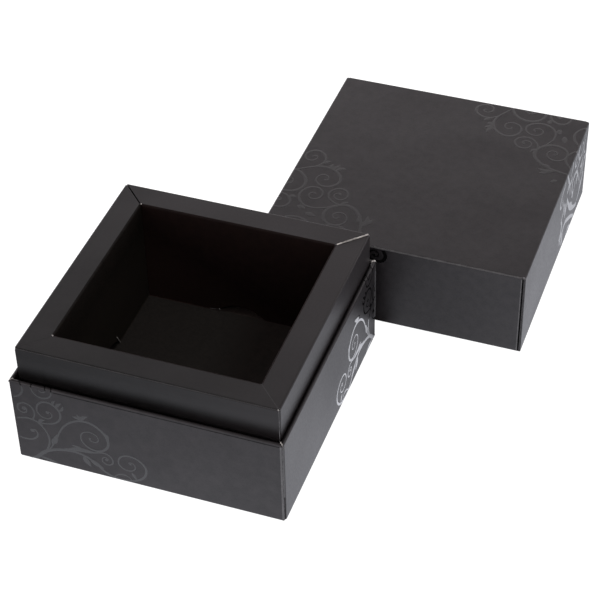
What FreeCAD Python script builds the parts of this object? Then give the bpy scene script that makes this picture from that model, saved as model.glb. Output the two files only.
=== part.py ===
"""Square shoulder box of thin black card: a tray, a raised frame insert and a lid beside them.

Millimetres. +Z up, +X to the right along the tray's front edge, +Y to the rear. The origin is
the centre of the tray's underside. The lid stands on its open rim behind the tray.
"""
import FreeCAD, Part
import math
import os
from collections import namedtuple

V = FreeCAD.Vector

# Card and creases
board = 0.5             # thickness of the card
fold_inside = 0.3       # inside radius of every crease
flap_gap = 0.05         # air between a flap and the layer that it lies against
wall_play = 0.3         # room left inside a double wall, over its three layers
edge_setback = 0.5      # how far a front or rear wall's cut edge stays inside the side wall
panel_gap = 0.1         # between cut edges that meet at a corner
seat_gap = 0.05         # between a cut edge and the panel it stands on

# Tray
tray_side = 120.0
tray_height = 44.0
flap_length = 22.0      # corner flaps of the tray and the lid
flap_taper = 3.0        # how much lower a flap is at its free end, above and below

# Lid
lid_overhang = 1.0      # how far the lid stands out past the tray on each side when closed
lid_height = 43.2
lid_strip = 0.1         # flat part of a lid flap that shows beside the corner's bend
lid_slit_gap = 0.1      # between that flap's step and the cut edge of the wall that covers it
lid_shift_x = 63.9      # the lid's centre, to the right of the tray's
lid_gap_y = 9.0         # between the tray's rear wall and the lid's front wall

# Insert
collar_play = 0.8       # between the tray's inner walls and the collar, on each side
collar_rise = 16.0      # how far the frame stands above the tray's rim
insert_slip = 0.5       # the insert lies this far to the right and to the rear within its play
frame_width = 12.3      # from the collar's face to the edge of the opening
floor_height = 7.2      # upper face of the raised floor, above the ground
open_mitre_gap = 0.4    # at the rear left corner, where the frame's mitre stands open
collar_flap_length = 14.0
notch_width = 23.0
notch_rise = 5.0
tab_gap = 0.2           # between a half-moon tab and the notch it was cut from
cutter_margin = 1.0     # how far the notch's cutter runs past what it cuts

# Worked out from the sizes above
fold_outside = fold_inside + board
double_wall = 3 * board + wall_play
flap_depth = board + wall_play - flap_gap
rim_radius = double_wall / 2
lid_side = tray_side + 2 * lid_overhang
lid_place = V(lid_shift_x, tray_side / 2 + lid_gap_y + lid_side / 2, 0)
collar_half = tray_side / 2 - double_wall - collar_play
opening_half = collar_half - frame_width
frame_top = tray_height + collar_rise
collar_foot = board + seat_gap
floor_edge = opening_half + board - fold_outside
notch_radius = (notch_width ** 2 / 4 + notch_rise ** 2) / (2 * notch_rise)

SIDES = ("front", "right", "rear", "left")
CORNERS = ("front_right", "rear_right", "rear_left", "front_left")   # each follows its side

# How a corner flap is cut: its length, how much it narrows, how deep it lies behind the wall
# that covers it, and how much of it shows flush with that wall before it steps in
Flap = namedtuple("Flap", "length taper depth strip")
tray_flap = Flap(flap_length, flap_taper, flap_depth, 0)
lid_flap = Flap(flap_length, flap_taper, flap_depth, lid_strip)
collar_flap = Flap(collar_flap_length, 0, board + flap_gap, 0)


def block(x0, x1, y0, y1, z0, z1):
    """Box between two corners."""
    return Part.makeBox(x1 - x0, y1 - y0, z1 - z0, V(x0, y0, z0))


def crease(half, y, z, start, end, inside=fold_inside):
    """Bent strip of card along X: a ring sector about (y, z), in degrees from +Y towards +Z."""
    def at(radius, angle):
        turn = math.radians(angle)
        return V(-half, y + radius * math.cos(turn), z + radius * math.sin(turn))

    outside = inside + board
    middle = (start + end) / 2
    outline = Part.Wire([
        Part.Arc(at(outside, start), at(outside, middle), at(outside, end)).toShape(),
        Part.makeLine(at(outside, end), at(inside, end)),
        Part.Arc(at(inside, end), at(inside, middle), at(inside, start)).toShape(),
        Part.makeLine(at(inside, start), at(outside, start)),
    ])
    return Part.Face(outline).extrude(V(2 * half, 0, 0))


def plate(points, direction):
    """Flat panel: a closed outline pushed along a direction."""
    corners = [V(*point) for point in points]
    return Part.Face(Part.makePolygon(corners + corners[:1])).extrude(direction)


def joined(*shapes):
    """One solid of pieces that share a face."""
    whole = shapes[0].multiFuse(list(shapes[1:]))
    return whole.removeSplitter().Solids[0]


def turned(shape, side):
    """A shape made at the front, carried round to another side."""
    copy = shape.copy()
    copy.rotate(V(0, 0, 0), V(0, 0, 1), SIDES.index(side) * 360 / len(SIDES))
    return copy


def is_lapping(side):
    """The front and rear walls lap over the flaps of the left and right ones."""
    return side in ("front", "rear")


def flap_start(half, flap):
    """Distance from the centre to where a left or right wall bends into its corner flap."""
    bend_depth = 0 if flap.strip else flap.depth
    return half - bend_depth - fold_outside


def setback(flap):
    """How far a front or rear wall's cut edge stays inside the side wall's face."""
    if flap.strip:
        return fold_outside + flap.strip + board + lid_slit_gap
    return edge_setback


def outer_wall(side, half, height, flap):
    """Wall that rises from the crease along a square panel's edge up to a height."""
    flat_half = half - setback(flap)
    crease_half = min(flat_half, half - fold_outside)
    if not is_lapping(side):
        flat_half = flap_start(half, flap)
        crease_half = flat_half
    flat = block(-flat_half, flat_half, -half, -half + board, fold_outside, height)
    bend = crease(crease_half, -half + fold_outside, fold_outside, 180, 270)
    return turned(joined(flat, bend), side)


def flap_bend(x, y, low, high):
    """Quarter turn of the card about an upright axis, from the right wall to the front."""
    post = Part.makeCylinder(fold_outside, high - low, V(x, y, low), V(0, 0, 1), 90)
    core = Part.makeCylinder(fold_inside, high - low, V(x, y, low), V(0, 0, 1), 90)
    bend = post.cut(core)
    bend.rotate(V(x, y, 0), V(0, 0, 1), -90)
    return bend


def flap_step(x, y, low, high, flap):
    """Strip that shows beside the bend, then the card's slant in behind the front wall."""
    lean = board * math.tan(math.pi / 8)
    strip_x = x - flap.strip
    inner_x = strip_x - flap.depth
    return plate(
        [(x, y, low), (strip_x, y, low), (inner_x, y + flap.depth, low),
         (inner_x, y + flap.depth + board, low), (inner_x + lean, y + flap.depth + board, low),
         (strip_x + lean, y + board, low), (x, y + board, low)],
        V(0, 0, high - low))


def corner_flap(corner, half, height, flap):
    """Flap bent round from the end of a left or right wall, behind the front or rear one."""
    low = flap_gap + fold_outside
    high = height - flap_gap
    x = half - fold_outside
    bend_y = -flap_start(half, flap)
    shape = flap_bend(x, bend_y, low, high)
    if flap.strip:
        shape = joined(shape, flap_step(x, -half, low, high, flap))
        x -= flap.strip + flap.depth
    y = -half + flap.depth
    end_x = x - flap.length
    tail = plate(
        [(x, y, low), (x, y, high), (end_x, y, high - flap.taper), (end_x, y, low + flap.taper)],
        V(0, board, 0))
    shape = joined(shape, tail)
    if corner.endswith("left"):
        shape = shape.mirror(V(0, 0, 0), V(1, 0, 0))
    if corner.startswith("rear"):
        shape = shape.mirror(V(0, 0, 0), V(0, 1, 0))
    return shape


def folded_walls(half, height, flap):
    """Four outer walls and their corner flaps, standing on a panel at the ground."""
    pieces = {side + "_wall": outer_wall(side, half, height, flap) for side in SIDES}
    for corner in CORNERS:
        pieces[corner + "_flap"] = corner_flap(corner, half, height, flap)
    return pieces


def rolled_rim(side, half, height):
    """Half-round turn of the card over the top of a double wall, mitred at both ends."""
    low = height - rim_radius
    rim = crease(half, -half + rim_radius, low, 0, 180, rim_radius - board)
    mitred = plate([(0, -panel_gap, low), (-half, -half - panel_gap, low),
                    (half, -half - panel_gap, low)], V(0, 0, rim_radius))
    return turned(rim.common(mitred).Solids[0], side)


def inner_wall(side, half, height):
    """Layer that comes down inside a double wall from its rim to the panel."""
    run = half - fold_outside
    if not is_lapping(side):
        run = half - double_wall - panel_gap
    face = -half + double_wall
    wall = block(-run, run, face - board, face, board + seat_gap, height - rim_radius)
    return turned(wall, side)


def double_walled_tray(side_length, height, flap):
    """Open square tray with rolled double walls, its panel on the ground."""
    half = side_length / 2
    edge = half - fold_outside
    pieces = {"panel": block(-edge, edge, -edge, edge, 0, board)}
    pieces.update(folded_walls(half, height - rim_radius, flap))
    for side in SIDES:
        pieces[side + "_rim"] = rolled_rim(side, half, height)
        pieces[side + "_inner_wall"] = inner_wall(side, half, height)
    return pieces


def upside_down(shape, height):
    """Mirror image between the ground and a height."""
    return shape.mirror(V(0, 0, height / 2), V(0, 0, 1))


def notch_cutter():
    """Arch through a wall's foot, with room for the tab to pass below it."""
    reach = notch_width / 2
    depth = fold_outside + cutter_margin
    outer = -floor_edge - depth
    axis_z = floor_height + notch_rise - notch_radius
    arch = Part.makeCylinder(notch_radius, depth, V(0, outer, axis_z), V(0, 1, 0))
    above = block(-reach, reach, outer, -floor_edge,
                  floor_height, floor_height + notch_rise + cutter_margin)
    foot = block(-reach, reach, outer, -floor_edge,
                 floor_height - board - cutter_margin, floor_height)
    return arch.common(above).fuse(foot)


def insert_inner_wall(side):
    """Wall of the opening, from the frame's edge down to the raised floor."""
    run = opening_half - panel_gap / 2
    back = -opening_half - board
    low = floor_height - board + fold_outside
    flat = block(-run, run, back, -opening_half, low, frame_top - fold_outside)
    top = crease(run, -opening_half - fold_outside, frame_top - fold_outside, 0, 90)
    foot = crease(floor_edge, -floor_edge, low, 180, 270)
    wall = joined(flat, top, foot).cut(notch_cutter())
    return turned(wall.removeSplitter().Solids[0], side)


def half_moon_tab():
    """Tab left flat in the floor's plane where the notch was cut from the front wall."""
    crease_y = -opening_half - board / 2
    centre = V(0, crease_y - notch_rise + notch_radius, floor_height - board)
    disc = Part.makeCylinder(notch_radius - tab_gap, board, centre)
    reach = notch_width / 2 - tab_gap
    return disc.common(block(-reach, reach, crease_y - notch_rise, -floor_edge,
                             floor_height - board, floor_height))


def raised_floor():
    """Floor of the opening with its four half-moon tabs."""
    panel = block(-floor_edge, floor_edge, -floor_edge, floor_edge,
                  floor_height - board, floor_height)
    return joined(panel, *[turned(half_moon_tab(), side) for side in SIDES])


def mitre_gap(corner):
    """How far a frame panel's cut end stays off the corner's diagonal."""
    return open_mitre_gap if corner == "rear_left" else panel_gap


def frame_panel(side):
    """Mitred strip of the frame's top."""
    outer = collar_half - fold_outside
    inner = opening_half + fold_outside
    low = frame_top - board
    place = SIDES.index(side)
    right_gap = mitre_gap(CORNERS[place])
    left_gap = mitre_gap(CORNERS[place - 1])
    strip = plate(
        [(left_gap - outer, -outer, low), (outer - right_gap, -outer, low),
         (inner - right_gap, -inner, low), (left_gap - inner, -inner, low)],
        V(0, 0, board))
    return turned(strip, side)


def frame_insert():
    """Raised frame whose collar stands on the tray's bottom."""
    pieces = {"floor": raised_floor()}
    height = frame_top - collar_foot
    for name, wall in folded_walls(collar_half, height, collar_flap).items():
        hung = upside_down(wall, height)
        hung.translate(V(0, 0, collar_foot))
        pieces[name.replace("_wall", "_collar")] = hung
    for side in SIDES:
        pieces[side + "_inner_wall"] = insert_inner_wall(side)
        pieces[side + "_frame"] = frame_panel(side)
    return pieces


def whole_box():
    """Every piece of the box where it lies, by the name of its node."""
    nodes = {}
    for name, piece in double_walled_tray(tray_side, tray_height, tray_flap).items():
        nodes["tray_" + name.replace("panel", "bottom")] = piece
    for name, piece in frame_insert().items():
        piece.translate(V(insert_slip, insert_slip, 0))
        nodes["insert_" + name] = piece
    for name, piece in double_walled_tray(lid_side, lid_height, lid_flap).items():
        piece = upside_down(piece, lid_height)
        piece.translate(lid_place)
        nodes["lid_" + name.replace("panel", "top")] = piece
    return nodes


os.makedirs("parts", exist_ok=True)
for node, solid in whole_box().items():
    solid.exportStep("parts/" + node + ".step")
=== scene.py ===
import math
import random

import bmesh
import bpy
from mathutils import Matrix, Vector


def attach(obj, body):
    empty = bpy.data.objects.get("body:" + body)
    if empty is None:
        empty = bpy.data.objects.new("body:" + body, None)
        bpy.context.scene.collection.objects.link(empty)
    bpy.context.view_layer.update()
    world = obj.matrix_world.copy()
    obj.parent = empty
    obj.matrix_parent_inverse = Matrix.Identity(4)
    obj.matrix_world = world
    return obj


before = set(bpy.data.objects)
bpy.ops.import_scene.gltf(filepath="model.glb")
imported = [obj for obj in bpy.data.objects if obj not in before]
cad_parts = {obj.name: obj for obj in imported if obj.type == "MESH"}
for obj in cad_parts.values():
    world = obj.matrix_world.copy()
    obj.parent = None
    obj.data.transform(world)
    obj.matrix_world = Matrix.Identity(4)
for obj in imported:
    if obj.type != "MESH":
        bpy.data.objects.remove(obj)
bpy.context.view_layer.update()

# Sizes of the box, in millimetres, as the CAD has them
TRAY_HALF = 60.0
TRAY_HEIGHT = 44.0
LID_SIDE = 122.0
LID_HEIGHT = 43.2
LID_CENTRE = (63.9, 130.0)
FOLD = 0.8             # outer radius of a crease
RIM = 0.9              # outer radius of a rolled rim
MM = 0.001             # a millimetre, in Blender's metres


# ---------------------------------------------------------------- materials
class Shader:
    """A small helper that adds and links the nodes of one material."""

    def __init__(self, name):
        self.material = bpy.data.materials.new(name)
        self.material.use_nodes = True
        self.tree = self.material.node_tree
        self.tree.nodes.clear()
        self.out = self.node("ShaderNodeOutputMaterial")
        self.coordinates = self.node("ShaderNodeTexCoord").outputs["Object"]

    def node(self, kind, **settings):
        made = self.tree.nodes.new(kind)
        for name, value in settings.items():
            setattr(made, name, value)
        return made

    def link(self, source, target):
        self.tree.links.new(source, target)

    def noise(self, scale, detail, roughness):
        made = self.node("ShaderNodeTexNoise")
        for name, number in (("Scale", scale), ("Detail", detail), ("Roughness", roughness)):
            made.inputs[name].default_value = number
        self.link(self.coordinates, made.inputs["Vector"])
        return made.outputs["Fac"]

    def span(self, value, low, high, to_low=0.0, to_high=1.0):
        """A value carried from one range to another."""
        made = self.node("ShaderNodeMapRange")
        for name, number in (("From Min", low), ("From Max", high),
                             ("To Min", to_low), ("To Max", to_high)):
            made.inputs[name].default_value = number
        self.link(value, made.inputs["Value"])
        return made.outputs["Result"]

    def mix(self, factor, first, second):
        made = self.node("ShaderNodeMix", data_type="RGBA")
        for socket, value in ((made.inputs[6], first), (made.inputs[7], second)):
            if isinstance(value, tuple):
                socket.default_value = (*value, 1.0)
            else:
                self.link(value, socket)
        self.link(factor, made.inputs[0])
        return made.outputs[2]

    def bump(self, height, strength, distance, below=None):
        made = self.node("ShaderNodeBump")
        made.inputs["Strength"].default_value = strength
        made.inputs["Distance"].default_value = distance
        self.link(height, made.inputs["Height"])
        if below:
            self.link(below, made.inputs["Normal"])
        return made.outputs["Normal"]

    def axes(self):
        """The object's coordinates, one by one."""
        made = self.node("ShaderNodeSeparateXYZ")
        self.link(self.coordinates, made.inputs[0])
        return made.outputs

    def surface(self, colour, roughness, normal, ior, coat=0.0, coat_roughness=0.1):
        made = self.node("ShaderNodeBsdfPrincipled")
        self.link(colour, made.inputs["Base Color"])
        self.link(roughness, made.inputs["Roughness"])
        self.link(normal, made.inputs["Normal"])
        made.inputs["IOR"].default_value = ior
        made.inputs["Coat Weight"].default_value = coat
        made.inputs["Coat Roughness"].default_value = coat_roughness
        self.link(made.outputs["BSDF"], self.out.inputs["Surface"])
        return self.material


def times(colour, factor):
    return tuple(c * factor for c in colour)


def card_skin(name, dark, light, smooth, rough, ior, tints_and_painted_light=(), foot=None):
    """Black card: fine felt grain, soft unevenness of the sheet, faint rubbed clouds.

    Each tint has its colour, the direction in which it grows and its reach that way, in m. Some
    tints are painted light: the sheen across the insert and the light on the floor's rear tab.
    The foot has the heights between which the card bows out, and by how much, in m.
    """
    s = Shader(name)
    grain = s.noise(1700, 3.0, 0.6)
    felt = s.noise(900, 2.0, 0.5)
    sheet = s.noise(30, 1.0, 0.4)
    cloud = s.noise(260, 3.0, 0.5)
    colour = s.mix(s.span(grain, 0.3, 0.7), dark, light)
    colour = s.mix(s.span(cloud, 0.35, 0.7, to_high=0.7), colour, times(light, 1.4))
    for dusty, toward, reach in tints_and_painted_light:
        across = s.node("ShaderNodeVectorMath", operation="DOT_PRODUCT")
        s.link(s.coordinates, across.inputs[0])
        across.inputs[1].default_value = toward
        mottle = s.mix(s.span(felt, 0.3, 0.7), times(dusty, 0.8), times(dusty, 1.2))
        colour = s.mix(s.span(across.outputs["Value"], *reach), colour, mottle)
    roughness = s.span(felt, 0.25, 0.75, smooth, rough)
    normal = s.bump(sheet, 1.0, 0.0006)
    normal = s.bump(felt, 0.25, 0.00005, normal)
    normal = s.bump(grain, 0.35, 0.00003, normal)
    if foot:
        low, high, depth = foot
        bow = s.node("ShaderNodeMath", operation="POWER")
        s.link(s.span(s.axes()["Z"], low, high, 1.0, 0.0), bow.inputs[0])
        bow.inputs[1].default_value = 2.0
        normal = s.bump(s.span(bow.outputs[0], 0.0, 1.0, 1.0, 0.0), 1.0, depth, normal)
    return s.surface(colour, roughness, normal, ior)


def card_edge(name, dark, light, ink, share):
    """Cut edge of the card, with short fibres, and ink drawn over a share of it."""
    s = Shader(name)
    fibres = s.noise(2600, 3.0, 0.7)
    smear = s.noise(420, 2.0, 0.6)
    colour = s.mix(s.span(fibres, 0.3, 0.7), dark, light)
    colour = s.mix(s.span(smear, 0.45, 0.62, to_high=share), colour, ink)
    roughness = s.span(fibres, 0.3, 0.7, 0.8, 0.95)
    return s.surface(colour, roughness, s.bump(fibres, 0.6, 0.00008), 1.4)


def slit_shade(name, dark, light):
    """Painted shadow in the narrow slit where a flap goes in behind a wall."""
    s = Shader(name)
    fibres = s.noise(2600, 3.0, 0.7)
    colour = s.mix(s.span(fibres, 0.3, 0.7), dark, light)
    roughness = s.span(fibres, 0.3, 0.7, 0.9, 1.0)
    return s.surface(colour, roughness, s.bump(fibres, 0.4, 0.00005), 1.02)


def varnish(name, dark, light, ior, coat, smooth, rough):
    """Gloss of the scrolls, which picks up what stands beside the box. The lit and shaded copies
    paint part of that reflection into their colour.
    """
    s = Shader(name)
    pool = s.noise(1300, 2.0, 0.5)
    fleck = s.noise(5200, 2.0, 0.6)
    colour = s.mix(s.span(fleck, 0.35, 0.65), dark, light)
    roughness = s.span(pool, 0.3, 0.7, smooth, rough)
    return s.surface(colour, roughness, s.bump(pool, 0.2, 0.00003), ior, coat, smooth)


satin_card = card_skin("satin_black_card", (0.0016, 0.0006, 0.0010), (0.0128, 0.0105, 0.0114),
                       0.37, 0.45, 1.45)

# Card of the insert. Its tint is painted sheen: the card grows lighter towards the rear right.
COLLAR = dict(dark=(0.0014, 0.0011, 0.0011), light=(0.0048, 0.0043, 0.0042),
              smooth=0.38, rough=0.46, ior=1.385,
              tints_and_painted_light=[((0.0175, 0.0150, 0.0155), (1.0, 1.0, 0.0), (-0.06, 0.06))])
COLLAR_FOOT = (0.044, 0.056)
matt_card = card_skin("matt_black_card", foot=(*COLLAR_FOOT, 0.0018), **COLLAR)
side_collar_card = card_skin("side_collar_card", foot=(*COLLAR_FOOT, 0.0006), **COLLAR)

INSIDE = dict(smooth=0.6, rough=0.7, ior=1.2)
# The inner walls' tint makes them lighter and warmer towards the bottom and the left.
DOWN_THE_WALL = ((-0.5, 0.0, -1.0), (-0.025, 0.01))
left_inner_card = card_skin("dusty_side_card", (0.0048, 0.0036, 0.0028), (0.0068, 0.0052, 0.0040),
                            tints_and_painted_light=[((0.0310, 0.0262, 0.0210), *DOWN_THE_WALL)], **INSIDE)
inner_card = card_skin("shaded_black_card", (0.0048, 0.0021, 0.0017), (0.0068, 0.0032, 0.0026),
                       tints_and_painted_light=[((0.0310, 0.0180, 0.0145), *DOWN_THE_WALL)], **INSIDE)
# Floor card: greyer and lighter towards the left. Its rear tab under the notch is painted light, as
# bright as the open floor though the notch shades it.
floor_card = card_skin("tinted_floor_card_with_painted_light", (0.0085, 0.0055, 0.0045), (0.0125, 0.0085, 0.0070),
                       0.6, 0.7, 1.3,
                       [((0.0270, 0.0228, 0.0200), (-1.0, 0.0, 0.0), (-0.016, 0.004)),
                        ((0.064, 0.049, 0.043), (0.0, 1.0, 0.0), (0.0455, 0.0465))])

core_material = card_edge("pale_card_core", (0.42, 0.40, 0.37), (0.72, 0.70, 0.66),
                          (0.05, 0.048, 0.046), 0.5)
worn_material = card_edge("inked_card_core", (0.12, 0.118, 0.12), (0.26, 0.255, 0.26),
                          (0.03, 0.029, 0.029), 0.7)
# Painted highlight: card much lighter than the black skin, for the light lines along folds, rims
# and corner ends.
fold_highlight_material = card_skin("rubbed_fold", (0.050, 0.049, 0.049), (0.080, 0.079, 0.079),
                            0.4, 0.5, 1.45)
# Painted faint highlight: slightly lighter card for the light lines on the insert's front fold, the
# lid's corner bend and the front right mitre.
faint_highlight_material = card_skin("painted_faint_highlight", (0.014, 0.0135, 0.0135), (0.030, 0.0295, 0.0295),
                               0.4, 0.5, 1.42)
crease_material = card_skin("shaded_crease", (0.007, 0.0068, 0.0068), (0.013, 0.0125, 0.0125),
                            0.6, 0.7, 1.15)
slit_material = slit_shade("painted_slit_shadow", (0.0006, 0.0006, 0.0006), (0.0022, 0.0021, 0.0021))

BLACK_GLOSS = dict(dark=(0.010, 0.010, 0.010), light=(0.018, 0.017, 0.018), ior=1.22)
varnish_material = varnish("gloss_scrollwork", coat=1.0, smooth=0.12, rough=0.22, **BLACK_GLOSS)
wall_varnish_material = varnish("worn_gloss_scrollwork", coat=0.42, smooth=0.14, rough=0.24,
                                **BLACK_GLOSS)
# Painted reflection: a light grey copy for strokes that mirror the bright floor, and a near-black
# copy for those that mirror the dark lid and rim.
lit_varnish_material = varnish("painted_lit_gloss_scrollwork", (0.150, 0.150, 0.155),
                                 (0.210, 0.210, 0.217), 1.8, 1.0, 0.03, 0.08)
shaded_varnish_material = varnish("shaded_gloss_scrollwork", (0.0005, 0.0005, 0.0005),
                                  (0.0020, 0.0019, 0.0019), 1.05, 0.18, 0.12, 0.22)
# Painted dark reflection: a darker copy of the gloss for the lid's front wall, which mirrors the
# black tray.
lid_shade_varnish_material = varnish("dim_gloss_scrollwork", (0.0015, 0.0015, 0.0015),
                               (0.0045, 0.0044, 0.0044), 1.12, 0.34, 0.12, 0.22)


# ---------------------------------------------------------------- card faces
ONE_PATCH = math.cos(math.radians(30))     # faces that bend less than this make one patch
NARROW = 0.62e-3                           # mean width below which a patch is a cut edge, in m


def cut_faces(mesh):
    """Numbers of the polygons that are the card's cut edge: patches no wider than the card."""
    keys = {}
    corner = []
    for vertex in mesh.vertices:
        key = tuple(round(c * 1e6) for c in vertex.co)
        corner.append(keys.setdefault(key, len(keys)))
    edges = {}
    for polygon in mesh.polygons:
        for a, b in polygon.edge_keys:
            pair = tuple(sorted((corner[a], corner[b])))
            edges.setdefault(pair, []).append(polygon.index)
    patch = list(range(len(mesh.polygons)))

    def root(i):
        while patch[i] != i:
            patch[i] = patch[patch[i]]
            i = patch[i]
        return i

    for shared in edges.values():
        if len(shared) == 2:
            first, second = (mesh.polygons[i] for i in shared)
            if first.normal.dot(second.normal) > ONE_PATCH:
                patch[root(first.index)] = root(second.index)
    area, outline = {}, {}
    for polygon in mesh.polygons:
        key = root(polygon.index)
        area[key] = area.get(key, 0.0) + polygon.area
    for pair, shared in edges.items():
        sides = {root(i) for i in shared}
        if len(sides) > 1:
            for key in sides:
                outline.setdefault(key, []).append(pair)
    where = {number: Vector(key) * 1e-6 for key, number in keys.items()}
    narrow = set()
    for key, total in area.items():
        length = sum((where[a] - where[b]).length for a, b in outline.get(key, ()))
        if length and 2 * total / length < NARROW:
            narrow.add(key)
    return {p.index for p in mesh.polygons if root(p.index) in narrow}


SKIN, PALE, WORN, SLIT = range(4)


def skin_of(name):
    """The card of one panel."""
    if not name.startswith("insert"):
        return satin_card
    if name.endswith("inner_wall"):
        return left_inner_card if "left" in name else inner_card
    if name in ("insert_left_collar", "insert_right_collar"):
        return side_collar_card
    return floor_card if name == "insert_floor" else matt_card


def cut_look(name, normal):
    """A cut face: bare core where it is mitred, inked elsewhere and all black on the frame."""
    mitred = min(abs(normal.x), abs(normal.y)) > 0.5
    if name.endswith("frame") and mitred:
        return SKIN
    return PALE if mitred else WORN


def skin_look(name, normal):
    """Any other face: painted slit shadow where the round fold of a lid's flap shows in the slit
    beside it.
    """
    if not (name.startswith("lid") and name.endswith("flap")):
        return SKIN
    rounded = max(abs(c) for c in normal) <= 0.97
    return SLIT if rounded and abs(normal.y) > 0.8 and abs(normal.z) < 0.2 else SKIN


for name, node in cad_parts.items():
    node.data.materials.clear()
    for material in (skin_of(name), core_material, worn_material, slit_material):
        node.data.materials.append(material)
    cut = cut_faces(node.data)
    for polygon in node.data.polygons:
        look = cut_look if polygon.index in cut else skin_look
        polygon.material_index = look(name, polygon.normal)


# ---------------------------------------------------------------- scrollwork
LIFT = 0.035           # how far the gloss stands proud of the card, in mm
SINK = 0.03            # and how far it reaches in
STEP, LEAF_STEP = 0.42, 0.3    # distance between the points of a stroke and of a leaf, in mm
BETWEEN = 24           # points that a smooth line gets from one given point to the next
SHORTEST = 4           # fewest points that make a ribbon
DOT_SIDES = 14
LID_TURN = LID_HEIGHT - FOLD                   # where the lid's walls start to bend over
UNFOLDED_TOP = LID_TURN + FOLD * math.pi / 2 - FOLD    # flat distance of the lid's top edge

# Strokes: width at the start, in the middle and at the end, then the points of the line, in mm.
# Leaves: half width, then the points from stalk to tip. Dots: radius and centre.
# On the tray x runs from the corner along the wall and y up it. On the lid x and y run from the
# corner over the top, and go below 0 where the stroke folds down over the edge.
TRAY_STROKES = [
    (1.9, 1.1, 0.5, [
        (4, 0), (7, 0.8), (9.5, 3), (12, 5.8), (15, 7.8), (18.5, 9.3), (22.5, 10.3), (27, 10.6),
        (31, 9.8), (34, 8.2), (37, 5.8), (39.5, 3.3), (43, 1.4), (47, 0.9), (51, 1.3), (55, 2.9),
        (58, 6), (59, 9.8), (57.8, 13), (55, 15.3), (51.5, 16), (48.3, 14.8), (46.6, 12),
        (46.9, 9.3), (49, 7.5), (51.8, 7.4), (53.8, 9), (53.9, 11.2), (52.4, 12.4), (51, 11.8)]),
    (0.6, 1.3, 0.5, [
        (14.8, 8.2), (17.2, 12.3), (19.2, 16.5), (20.8, 20.5), (23, 24.3), (26.2, 27.6), (30, 29.7),
        (34.5, 30.2), (38.6, 28.4), (41.8, 24.8), (42.8, 20.4), (41.2, 16.6), (37.8, 14.6),
        (34, 15), (31.2, 17.4), (30.4, 20.8), (31.8, 23.6), (34.8, 24.7), (37.6, 23.5), (38.4, 21),
        (36.8, 19.4), (34.8, 19.8), (34.2, 21.2)]),
    (0.9, 0.8, 0.5, [
        (22, 11), (28, 12), (33, 12.3), (36.5, 13.3), (40, 14.2), (42.6, 13.4), (44, 11),
        (43.4, 8.6), (41.2, 7.7), (39.3, 9), (39.4, 11), (41, 11.8), (42, 10.6)]),
    (1.0, 0.9, 0.7, [
        (12.2, 4.8), (14, 8.5), (15.3, 12.5), (15.2, 16.5), (13.8, 20), (11.5, 22.7), (9, 24.4)]),
    (0.7, 0.9, 0.7, [
        (8.6, 23.6), (9.9, 26.6), (10, 29.6), (8.4, 32), (5.6, 32.8), (3.1, 31.2), (2.7, 28.6),
        (4.4, 27), (6.4, 27.8), (6.6, 29.8), (5.4, 30.6)]),
    (0.8, 1.0, 0.8, [
        (13.2, 21.8), (10.4, 23.6), (6.8, 24.3), (3, 23.4), (-1, 21.8)]),
    (0.7, 1.1, 0.5, [
        (10.6, 23.2), (14.5, 23.4), (18.5, 24.7), (21.3, 27.4), (22.2, 31), (20.8, 34.2),
        (17.6, 36.2), (14.2, 35.6), (11.9, 33), (11.6, 29.6), (13.4, 27.2), (16.2, 26.8),
        (18.1, 28.4), (17.9, 30.4), (16.4, 31)]),
    (0.7, 1.0, 0.8, [
        (-1, 12.8), (2.5, 11.7), (6.3, 11.8), (9.3, 13.6), (10.3, 16.2), (9.3, 18.2), (7.8, 17.8)]),
    (0.7, 1.0, 0.7, [
        (-1.2, 34.8), (1.5, 35.2), (4, 36.6), (5.7, 39), (6, 41.6), (5, 44.2), (3.4, 45.6)]),
    (0.6, 0.9, 0.6, [
        (10.2, 44.6), (10.4, 41.6), (11.7, 39.3), (14.2, 38.2), (17, 38.8), (18.9, 40.8),
        (19.3, 43.4), (18.6, 45.6)]),
    (0.4, 0.7, 0.4, [
        (13.4, 43.6), (14.2, 41.8), (16, 41.8), (16.6, 43.6), (15.4, 45.4)]),
    (0.5, 0.8, 0.4, [
        (44, 1.6), (46, 3.4), (48.8, 4), (51, 3), (52, 1.4)]),
]
TRAY_LEAVES = [
    (1.2, [(23.5, 11.4), (29, 12.7), (35.8, 13.4)]),
    (0.7, [(31.5, 12.8), (28.4, 13.9), (25.4, 14.4)]), (1.3, [(30.6, 9.4), (31.6, 7), (33.6, 3.8)]),
    (1.2, [(33.4, 8.6), (36.2, 6.4), (39.6, 4.6)]), (0.7, [(52.2, 6.6), (53.3, 4.4), (54.2, 2.6)]),
    (0.8, [(31.6, 30.2), (29.8, 31.4), (27.4, 31.6)]),
    (0.9, [(31.2, 30.2), (32.4, 32.2), (34.9, 33.8)]), (0.6, [(31.4, 30), (31, 32), (29.4, 33.4)]),
    (1.05, [(18.1, 12.6), (18.5, 15.6), (19.5, 18.8)]), (0.7, [(16.6, 11.4), (17, 14), (18, 16.4)]),
    (0.75, [(20.6, 34.2), (21.4, 36), (23.4, 37.8)]), (0.6, [(21.6, 32.8), (23.2, 34), (24, 36.4)]),
    (0.6, [(19.4, 35.4), (19.4, 37), (20.6, 38.4)]),
    (0.8, [(11.4, 23), (12.8, 24.8), (14.8, 25.4)]), (0.7, [(9.5, 2.6), (13.6, 2), (18.6, 1)]),
    (0.6, [(41.6, 26.2), (42.8, 24.6), (43.2, 22.4)]),
]
TRAY_DOTS = [
    (1.0, (5.5, 29.5)), (0.85, (16.3, 30.4)), (1.0, (8, 17.4)), (0.65, (41.1, 10.4)),
    (0.55, (52, 11.4)), (0.5, (34.6, 21)),
]
TRAY_MOTIF = (TRAY_STROKES, TRAY_LEAVES, TRAY_DOTS)
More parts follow.
